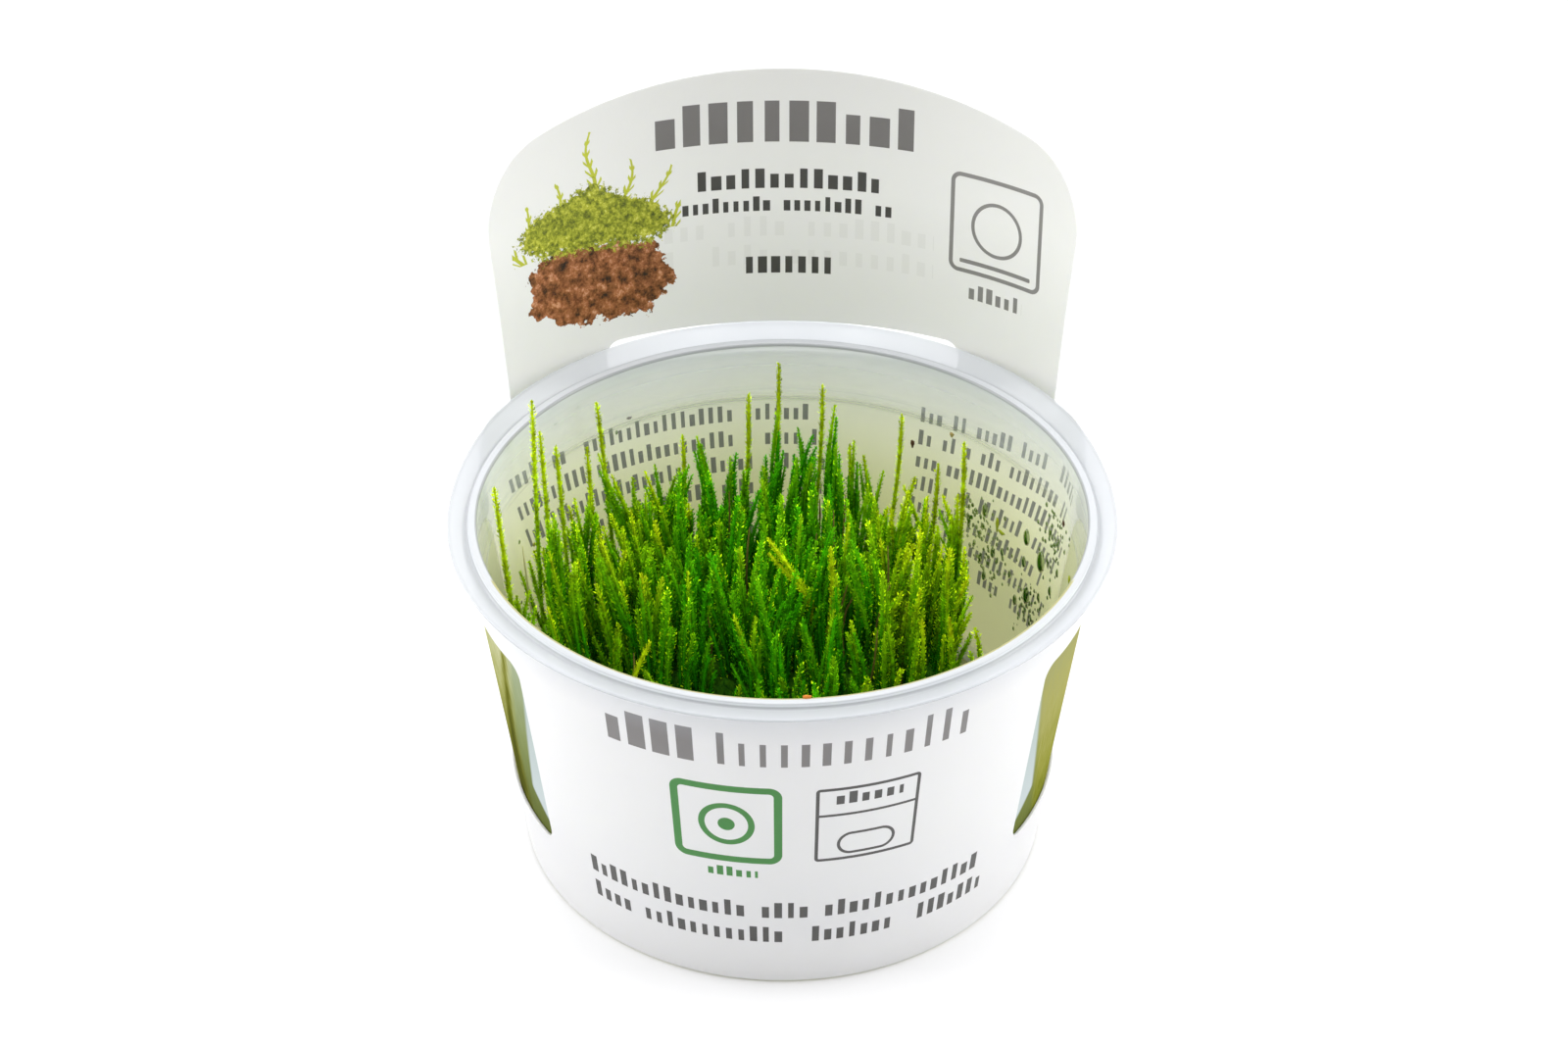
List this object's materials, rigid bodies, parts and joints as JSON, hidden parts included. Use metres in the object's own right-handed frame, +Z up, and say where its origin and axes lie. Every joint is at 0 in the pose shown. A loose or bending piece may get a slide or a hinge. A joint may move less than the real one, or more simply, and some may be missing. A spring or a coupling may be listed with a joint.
{
  "type": "java moss in a culture cup",
  "caption": "Java moss grown as a dense stand of upright leafy shoots in a clear tapered tissue-culture cup, wrapped by a printed sleeve with windows and a tall arched header.",
  "frame": {"origin": "centre of the flat underside of the cup's base, which stands on the surface", "axes": "+Z up out of the cup, -Y towards the sleeve's plain curved front, +Y towards the header at the back, +X to the right as seen from the front"},
  "size_m": [0.1004, 0.1044, 0.1042],
  "materials": {
    "clear_plastic": "clear, glossy, slightly milky",
    "printed_sheet": "white satin sheet, printed on both sides",
    "gel": "wet, translucent",
    "moss": "living leaves, matt",
    "moss_tips": "living leaves, matt"
  },
  "bodies": {
    "root": {"cup": "clear_plastic", "label_sleeve": "printed_sheet", "growth_gel": "gel", "moss_cushion": "moss", "moss_shoot_01": "moss_tips", "moss_shoot_02": "moss_tips", "moss_shoot_03": "moss_tips", "moss_shoot_04": "moss_tips", "moss_shoot_05": "moss_tips", "moss_shoot_06": "moss_tips", "moss_shoot_07": "moss_tips", "moss_shoot_08": "moss_tips", "moss_shoot_09": "moss_tips", "moss_shoot_10": "moss_tips", "moss_shoot_11": "moss_tips", "moss_shoot_12": "moss_tips", "moss_shoot_13": "moss_tips", "moss_shoot_14": "moss_tips"}
  },
  "joints": []
}
